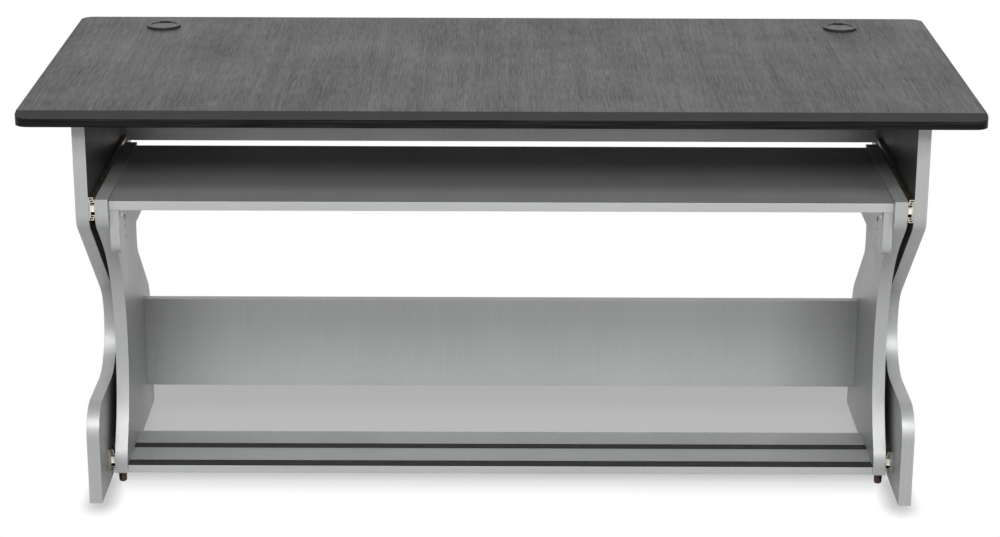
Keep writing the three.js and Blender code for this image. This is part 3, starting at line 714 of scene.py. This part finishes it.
def makeGrommets():
    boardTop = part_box("desktop_board")[1].z
    for name in sides:
        sleeve, cap = f"grommet_sleeve_{name}", f"grommet_cap_{name}"
        low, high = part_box(sleeve)
        capLow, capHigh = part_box(cap)
        centre = (low + high) / 2
        at = (centre.x, centre.y, 0)
        flange, disc = (high.x - low.x) / 2, (capHigh.x - capLow.x) / 2
        seat, ledge = boardTop - grommet["seat"], boardTop + grommet["ledge"]
        barrel, bore, recess = (flange - grommet[part] for part in ("barrel", "bore", "recess"))
        profile = [(bore, low.z), (barrel, low.z), (barrel, seat), (flange, seat), (flange, high.z),
                   (recess, high.z), (recess, ledge), (bore, ledge)]
        rounded = roundedProfile(profile, grommet["rimRound"], grommet["rimSteps"], (4, 5))
        liner = turnPiece(rounded + rounded[:1], at, grommet["turnSteps"])
        finishSmall(liner, f"{sleeve}_turned", sleeve, [grommetPlastic, grommetWallPaintedShade], isWall)
        skirt, inside = bore - grommet["play"], bore - grommet["skirt"]
        under, sunk = ledge + grommet["play"], capHigh.z - grommet["dish"]
        dishOut, dishIn = (disc - width for width in grommet["dishRim"])
        top = [(0, under), (inside, under), (inside, capLow.z), (skirt, capLow.z), (skirt, under),
               (disc, under), (disc, capHigh.z), (dishOut, capHigh.z), (dishIn, sunk), (0, sunk)]
        lid = turnPiece(roundedProfile(top, grommet["capRound"], grommet["capSteps"], (6,)), at,
                        grommet["turnSteps"])
        edge = centre.y + disc
        slotEnd, half, past = edge - grommet["slotDepth"], grommet["slotHalf"], grommet["pastTop"]
        slot = addBlock((centre.x - half, slotEnd, capLow.z - past),
                        (centre.x + half, edge + grommet["pastEdge"], capHigh.z + past))
        openUp(slot)
        choose(slot, "edges", lambda side: all(v.co.y < slotEnd + bench["near"] for v in side.verts)
               and abs(side.verts[0].co.z - side.verts[1].co.z) > grommet["upright"])
        bpy.ops.mesh.bevel(offset=grommet["slotCorner"], segments=grommet["cornerSteps"])
        closeUp()
        cutAway(lid, [slot])
        roundEdges(lid, grommet["slotEdge"], above=grommet["slotAbove"])
        finishSmall(lid, f"{cap}_turned", cap, [grommetPlastic, grommetWallPaintedShade], isWall)


# Screws: one with a dome head and one with a flat head, each with a cross recess, turned once and copied

screw = {"radius": 0.0037, "height": 0.0018, "crossLength": 0.0044, "crossWidth": 0.0009, "crossFloor": 0.35,
         "rim": 0.25, "domeSteps": 8, "turnSteps": 32, "flatSize": 0.8, "flatHeight": 0.27}


def makeScrew(size=1.0, share=1.0):  # share is that of the full height
    radius, height = screw["radius"] * size, screw["height"] * size * share
    angles = [step / screw["domeSteps"] * math.pi / 2 for step in range(screw["domeSteps"])]
    dome = [(radius * math.cos(angle), height * (screw["rim"] + (1 - screw["rim"]) * math.sin(angle)))
            for angle in angles]
    head = turnPiece([(0, 0), (radius, 0)] + dome + [(0, height)], (0, 0, 0), screw["turnSteps"])
    long, wide = screw["crossLength"] * size / 2, screw["crossWidth"] * size / 2
    floor = height * screw["crossFloor"]
    cutAway(head, [addBlock((-long, -wide, floor), (long, wide, height * 2)),
                   addBlock((-wide, -long, floor), (wide, long, height * 2))])
    smoothOver(head, bench["smallRound"])
    return head


def addScrews(master, places, name, body):
    heads = [copyPiece(master, aim(at, along)) for at, along in places]
    ride(joinUp(heads), name, body, [screwSteel])


# Ball bearing slides

slide = {"sheet": 0.00135, "lipBend": 0.0009, "lips": {"outer": 0.0037, "middle": 0.0036, "inner": 0.0011},
         "ballRadius": 0.00145, "ballsPerRow": 11, "ballSteps": {"segments": 12, "ring_count": 8},
         "cageSheet": 0.0006, "cageBend": 0.0006, "cageShort": 0.0004,
         "screwPlaces": (0.035, 0.19, 0.38), "clearPlaces": (0.34, 0.385, 0.43),
         "slotPlaces": (0.11, 0.3), "slotHalf": 0.004, "holeRadius": 0.0023, "accessRadius": 0.0052,
         "holeSteps": 24, "past": 0.002, "end": 0.9}


def depthsOf(node, wall):  # how near and how far a node reaches from the wall that the slide is fixed to
    low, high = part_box(node)
    return sorted((wall - abs(low.x), wall - abs(high.x)))


def channelLine(node, side, wall, webNear, lip):  # centre line of the sheet, from one lip to the other
    low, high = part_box(node)
    near, far = depthsOf(node, wall)
    half = slide["sheet"] / 2
    web, tip = (near + half, far - half) if webNear else (far - half, near + half)
    middle, rise = (low.z + high.z) / 2, (high.z - low.z) / 2 - half
    outline = [(tip, rise - lip), (tip, rise), (web, rise), (web, -rise), (tip, -rise), (tip, lip - rise)]
    return [(side * (wall - depth), low.y, middle + up) for depth, up in outline]


def makeMember(label, kind, side, wall, holes):  # holes have a place, a radius and a half length
    node = f"{label}_{kind}"
    low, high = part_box(node)
    line = channelLine(node, side, wall, kind != "inner", slide["lips"][kind])
    member = rollSheet(line, (0, high.y - low.y, 0), slide["sheet"], slide["lipBend"])
    centre = (low.z + high.z) / 2
    cutters = []
    for place, radius, half in holes:
        y = low.y + place
        start, end = (low.x - slide["past"], y, centre), (high.x + slide["past"], y, centre)
        drum = addDrum(radius, start, end, slide["holeSteps"])
        if half:  # a hole drawn out along the slide
            openUp(drum)
            bpy.ops.mesh.select_all(action="SELECT")
            bpy.ops.transform.resize(value=(1, 1 + half / radius, 1), center_override=(0, y, centre))
            closeUp()
        cutters.append(drum)
    cutAway(member, cutters)
    # the front end faces take the paler steel: painted highlight
    finishSmall(member, f"{node}_rolled", node, [zincSteel, steelEndsPaintedHighlight],
                lambda face: face.normal.y < -slide["end"])


def makeCage(label, kind, side, wall):
    node = f"{label}_{kind}"
    low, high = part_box(node)
    radius, half = slide["ballRadius"], slide["cageSheet"] / 2
    near, far = depthsOf(node, wall)
    lips, web = far - slide["cageShort"] - half, near + half
    middle = (low.z + high.z) / 2
    rise = (high.z - low.z) / 2 - radius
    line = [(lips, rise), (web, rise), (web, -rise), (lips, -rise)]
    points = [(side * (wall - depth), low.y, middle + up) for depth, up in line]
    cage = rollSheet(points, (0, high.y - low.y, 0), slide["cageSheet"], slide["cageBend"])
    nearer, further = ("outer", "middle") if kind == "outer_cage" else ("middle", "inner")
    depth = (depthsOf(f"{label}_{nearer}", wall)[1] + depthsOf(f"{label}_{further}", wall)[0]) / 2
    master = addShape(bpy.ops.mesh.primitive_uv_sphere_add, radius=radius, **slide["ballSteps"])
    balls = []
    for step in range(slide["ballsPerRow"]):
        y = low.y + (step + 0.5) * (high.y - low.y) / slide["ballsPerRow"]
        for up in (-rise, rise):
            at = Matrix.Translation((side * (wall - depth), y, middle + up))
            balls.append(copyPiece(master, at))
    bpy.data.objects.remove(master)
    for ball in balls:
        ball.data.materials.append(ballSteel)
    cage.data.materials.append(cageSteel)
    whole = joinUp([cage] + balls)
    marks = [face.material_index for face in whole.data.polygons]
    finishSmall(whole, f"{node}_balls", node, list(whole.data.materials), lambda face: marks[face.index])


stop = {"inset": 0.0014, "recess": 0.0012, "round": 0.0005, "roundSteps": 3, "front": 0.9}


def makeStop(label):
    node = f"{label}_stop"
    block = addBlock(*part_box(node))
    openUp(block)
    choose(block, "faces", lambda face: face.normal.y < -stop["front"])
    bpy.ops.mesh.inset(thickness=stop["inset"])
    bpy.ops.mesh.extrude_region_move(TRANSFORM_OT_translate={"value": (0, stop["recess"], 0)})
    closeUp()
    roundEdges(block, stop["round"], stop["roundSteps"])
    finishSmall(block, f"{node}_moulded", node, [ivoryPlastic])


def makeSlides(flatHead, panHead):
    slots = [(place, slide["holeRadius"], slide["slotHalf"]) for place in slide["slotPlaces"]]
    access = [(place, slide["accessRadius"], 0) for place in slide["screwPlaces"]]
    for level in levels:
        for name, side in sides.items():
            label = f"slide_{level}_{name}"
            low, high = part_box(f"{label}_outer")
            wall = max(abs(low.x), abs(high.x))
            makeMember(label, "outer", side, wall, slots)
            makeMember(label, "middle", side, wall, access + slots)
            makeMember(label, "inner", side, wall, slots)
            makeCage(label, "outer_cage", side, wall)
            makeCage(label, "inner_cage", side, wall)
            makeStop(label)
            centre = (low.z + high.z) / 2
            x = side * (wall - slide["sheet"])  # these screws sit past the cage's reach
            places = [((x, low.y + place, centre), (-side, 0, 0)) for place in slide["clearPlaces"]]
            addScrews(flatHead, places, f"{label}_outer_screws", "base")
            x = side * (wall - depthsOf(f"{label}_inner", wall)[1] + slide["sheet"])
            places = [((x, low.y + place, centre), (side, 0, 0)) for place in slide["screwPlaces"]]
            addScrews(panHead, places, f"{label}_inner_screws", "keyboard_frame")
            print("slide made:", label)


# Steel angle brackets

bracket = {"thick": 0.0025, "thin": 0.002, "bend": 1.1, "screwShare": 0.6, "round": 0.0004, "above": 60}


def makeBracket(node, sheet, legAxis, legSign, panHead):  # one leg lies along the axis, the other hangs down
    low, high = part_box(node)
    widthAxis = 1 - legAxis
    leg, half, start = high.z - low.z, sheet / 2, low[widthAxis]
    corner = low[legAxis] if legSign > 0 else high[legAxis]

    def at(out, down, width):
        point = Vector((0, 0, high.z - down))
        point[legAxis] = corner + legSign * out
        point[widthAxis] = width
        return point

    span, away = Vector((0, 0, 0)), Vector((0, 0, 0))
    span[widthAxis] = high[widthAxis] - start
    away[legAxis] = legSign
    angle = rollSheet([at(leg, half, start), at(half, half, start), at(half, leg, start)], span, sheet,
                      sheet * bracket["bend"])
    roundEdges(angle, bracket["round"], above=bracket["above"])
    finishSmall(angle, f"{node}_bent", node, [bracketSteel])
    middle, run = (start + high[widthAxis]) / 2, leg * bracket["screwShare"]
    places = [(at(run, sheet, middle), (0, 0, -1)), (at(sheet, run, middle), away)]
    addScrews(panHead, places, f"{node}_screws", bodyOf[node])


def makeBrackets(panHead):
    for place in ("left", "middle", "right"):
        makeBracket(f"apron_bracket_{place}", bracket["thick"], 1, 1, panHead)
    for name, side in sides.items():
        makeBracket(f"side_bracket_{name}", bracket["thick"], 0, -side, panHead)
        for row in rows:
            makeBracket(f"shelf_bracket_{row}_{name}", bracket["thin"], 0, -side, panHead)


# Black bolts in the cleats

bolt = {"socketRadius": 0.0021, "socketDepth": 0.0015, "socketSides": 6, "headHeight": 0.002,
        "shankRadius": 0.003, "crown": 0.0008, "crownFlat": 0.62, "crownEdge": (0.86, 0.3), "tip": 0.001,
        "turnSteps": 40}


def makeBolts():
    crown, shank, tip = bolt["crown"], bolt["shankRadius"], bolt["tip"]
    edgeShare, edgeDrop = bolt["crownEdge"]
    for name, side in sides.items():
        for row in rows:
            node = f"cleat_bolt_{row}_{name}"
            low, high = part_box(node)
            radius, length = (high.z - low.z) / 2, high.x - low.x
            profile = [(0, 0), (radius * bolt["crownFlat"], 0), (radius * edgeShare, crown * edgeDrop),
                       (radius, crown), (radius, bolt["headHeight"]), (shank, bolt["headHeight"]),
                       (shank, length - tip), (shank - tip, length), (0, length)]
            body = turnPiece(profile, (0, 0, 0), bolt["turnSteps"])
            depth = (0, 0, bolt["socketDepth"])
            cutAway(body, [addDrum(bolt["socketRadius"], (0, 0, -tip), depth, bolt["socketSides"])])
            start = Vector((low.x if side > 0 else high.x, (low.y + high.y) / 2, (low.z + high.z) / 2))
            body.matrix_world = aim(start, (side, 0, 0))
            placeInMesh(body)
            finishSmall(body, f"{node}_turned", node, [boltBlack])


# Ball castors

castor = {"gap": 0.0003, "rimRadius": 0.0061, "drawnIn": 0.0055, "cupRadius": 0.008, "cupTop": 0.021,
          "groove": ((0, 0.0052), (0.0004, 0.0048), (0.0004, 0.0042), (0, 0.0038), (0, 0.0008), (0.0008, 0)),
          "neckRadius": 0.006, "pinRadius": 0.004, "pinTip": 0.001, "hollowSteps": 12, "drawnSteps": 8,
          "turnSteps": 64, "ballSteps": {"segments": 48, "ring_count": 24}}


def makeCastors():
    cup, rim, drawnIn = castor["cupRadius"], castor["rimRadius"], castor["drawnIn"]
    neck, pin, tip = castor["neckRadius"], castor["pinRadius"], castor["pinTip"]
    for name in sides:
        housing, ball = f"castor_housing_{name}", f"castor_ball_{name}"
        low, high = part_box(housing)
        ballLow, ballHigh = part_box(ball)
        centre = (ballLow + ballHigh) / 2
        radius = (ballHigh.x - ballLow.x) / 2
        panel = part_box(f"inner_side_{name}")[0].z
        socket = radius + castor["gap"]
        fall = math.asin((low.z - centre.z) / socket) - math.pi / 2
        steps = castor["hollowSteps"]
        angles = [math.pi / 2 + fall * step / steps for step in range(steps + 1)]
        hollow = [(socket * math.cos(angle), centre.z + socket * math.sin(angle)) for angle in angles]
        hollow[0] = (0, centre.z + socket)
        steps = castor["drawnSteps"]
        angles = [math.pi / 2 * step / steps for step in range(steps + 1)]
        bottom = [(rim + (cup - rim) * math.sin(angle), low.z + drawnIn * (1 - math.cos(angle)))
                  for angle in angles]
        groove = [(cup - inward, castor["cupTop"] - down) for inward, down in castor["groove"]]
        upper = [(neck, castor["cupTop"]), (neck, panel), (pin, panel), (pin, high.z - tip),
                 (pin - tip, high.z), (0, high.z)]
        body = turnPiece(hollow + bottom + groove + upper, (centre.x, centre.y, 0), castor["turnSteps"])
        finishSmall(body, f"{housing}_turned", housing, [bronzeSteel])
        sphere = addShape(bpy.ops.mesh.primitive_uv_sphere_add, radius=radius, location=centre,
                          **castor["ballSteps"])
        finishSmall(sphere, f"{ball}_polished", ball, [ballSteel])


# Room, lights and camera

# The floor that the camera sees has a painted shadow: a grey tone under the desk and round the front of the
# feet, mixed with a little real shading. Light bouncing off the floor takes a paler floor colour under the
# desk than in the open.
room = {"floorSize": 14.0, "floorDrop": 0.0002, "paperTone": 0.9, "evenShare": 0.88, "evenTones": (0.9, 1.0),
        "bounceUnder": 0.95, "bounceOpen": 0.42, "bounceTones": (0.45, 1.0), "ambient": 0.0,
        "shadowUnderDesk": {"middle": (0.0, 0.10, 0), "half": (0.765, 0.227, 0), "fade": (0.05, 0.19, 1),
                      "tone": 0.44},
        "shadowRoundFeet": {"middle": (0.783, -0.30, 0), "half": (0.003, 0.05, 0), "fade": (0.043, 0.075, 1),
                      "tone": 0.55}}


def paintedFloorShadow(tree, place, zone):  # painted shadow on the floor: the zone's tone inside it and 1 past its fade, alike left and right
    parts = axes(tree, place)
    out = reckon(tree, "ABSOLUTE", parts["X"])
    folded = addNode(tree, "CombineXYZ", {"X": out, "Y": parts["Y"]}).outputs["Vector"]
    reach = reckonVectors(tree, "ABSOLUTE", reckonVectors(tree, "SUBTRACT", folded, zone["middle"]))
    past = reckonVectors(tree, "MAXIMUM", reckonVectors(tree, "SUBTRACT", reach, zone["half"]), (0, 0, 0))
    share = reckonVectors(tree, "DIVIDE", past, zone["fade"])
    distance = addNode(tree, "VectorMath", {0: share}, operation="LENGTH").outputs["Value"]
    faded = {"Value": distance, "To Min": zone["tone"]}
    return addNode(tree, "MapRange", faded, interpolation_type="SMOOTHSTEP").outputs["Result"]


def cameraShare(tree):  # 1 for what the camera, a reflection or a view through glass meets
    path = addNode(tree, "LightPath").outputs
    seen = reckon(tree, "MAXIMUM", path["Is Camera Ray"], path["Is Glossy Ray"])
    return reckon(tree, "MAXIMUM", seen, path["Is Transmission Ray"])


def makeRoom():
    floor = addShape(bpy.ops.mesh.primitive_plane_add, size=room["floorSize"],
                     location=(0, 0, -room["floorDrop"]))
    floor.name = "floor"
    material = bpy.data.materials.new("floorPaper")
    material.use_nodes = True
    tree = material.node_tree
    tree.nodes.clear()
    place = addNode(tree, "TexCoord").outputs["Object"]
    # the tone is the painted shadow under the desk and round the feet
    tone = reckon(tree, "MINIMUM", paintedFloorShadow(tree, place, room["shadowUnderDesk"]),
                  paintedFloorShadow(tree, place, room["shadowRoundFeet"]))
    floorWithPaintedShadow = addNode(tree, "Emission", {"Color": tone, "Strength": 1.0})
    paper = addNode(tree, "BsdfDiffuse", {"Color": [room["paperTone"]] * 3 + [1]})
    share = ramp(tree, tone, *room["evenTones"], room["evenShare"], 1.0)
    seen = addNode(tree, "MixShader", {0: share, 1: paper.outputs[0], 2: floorWithPaintedShadow.outputs[0]})
    bounce = ramp(tree, tone, *room["bounceTones"], room["bounceUnder"], room["bounceOpen"])
    dull = addNode(tree, "BsdfDiffuse", {"Color": bounce})
    both = addNode(tree, "MixShader", {0: cameraShare(tree), 1: dull.outputs[0], 2: seen.outputs[0]})
    addNode(tree, "OutputMaterial", {"Surface": both.outputs[0]})
    floor.data.materials.append(material)
    world = bpy.data.worlds.new("studio")
    bpy.context.scene.world = world
    world.use_nodes = True
    tree = world.node_tree
    tree.nodes.clear()
    plain = addNode(tree, "Background", {"Color": (1, 1, 1, 1), "Strength": room["ambient"]})
    bright = addNode(tree, "Background", {"Color": (1, 1, 1, 1), "Strength": 1.0})
    both = addNode(tree, "MixShader", {0: cameraShare(tree), 1: plain.outputs[0], 2: bright.outputs[0]})
    addNode(tree, "OutputWorld", {"Surface": both.outputs[0]})


lamps = {  # azimuth from the camera's side, elevation, width, height and power of each
    "low": (0, 4, 4.2, 1.4, 12),
    "key": (0, 32, 4.2, 1.4, 232),
    "high": (0, 46, 4.2, 1.4, 235),
    "leftFill": (-45, 24, 4.2, 1.4, 72),
    "rightFill": (45, 24, 4.2, 1.4, 90),
    "rear": (180, 50, 8.0, 2.0, 340),
}
lampTarget, lampDistance = Vector((0, -0.2, 0.35)), 8.0


def makeLamps():
    for name, (azimuth, elevation, width, height, power) in lamps.items():
        turn, rise = math.radians(azimuth), math.radians(elevation)
        way = Vector((math.sin(turn) * math.cos(rise), -math.cos(turn) * math.cos(rise), math.sin(rise)))
        data = bpy.data.lights.new(name, "AREA")
        data.shape = "RECTANGLE"
        data.size, data.size_y = width, height
        data.energy = power
        light = addObject(name, data)
        light.location = lampTarget + way * lampDistance
        light.rotation_euler = (-way).to_track_quat("-Z", "Y").to_euler()
        light.visible_glossy = name != "rear"


view = {"focalPixels": 2528.0, "imageWidth": 1000.0, "sensor": 36.0, "pitch": 18.29, "roll": 0.178,
        "at": (0.0, -4.916, 1.9945), "axisColumn": 501.1, "shiftUp": 0.0005}


def makeCamera():
    data = bpy.data.cameras.new("camera")
    data.sensor_width = view["sensor"]
    data.lens = view["focalPixels"] / view["imageWidth"] * view["sensor"]
    data.shift_x = (view["imageWidth"] / 2 - view["axisColumn"]) / view["imageWidth"]
    data.shift_y = view["shiftUp"]
    camera = addObject("camera", data)
    tilt = Matrix.Rotation(math.radians(90 - view["pitch"]), 4, "X")
    roll = Matrix.Rotation(math.radians(view["roll"]), 4, "Z")
    camera.matrix_world = Matrix.Translation(view["at"]) @ tilt @ roll
    bpy.context.scene.camera = camera
    bpy.context.scene.view_settings.view_transform = "Standard"


makeCamera()
makeRoom()
makeLamps()
print("room, lamps and camera set")
makeTop()
makeSideBoards()
makeCrossBoards()
makeCleats()
print("boards made")
makeRubberStrips()
makeGrommets()
print("strips and grommets made")
flatHead, panHead = makeScrew(screw["flatSize"], screw["flatHeight"]), makeScrew()
makeSlides(flatHead, panHead)
makeBrackets(panHead)
makeBolts()
makeCastors()
for master in (flatHead, panHead):
    bpy.data.objects.remove(master)
print("slides, brackets, bolts and castors made")
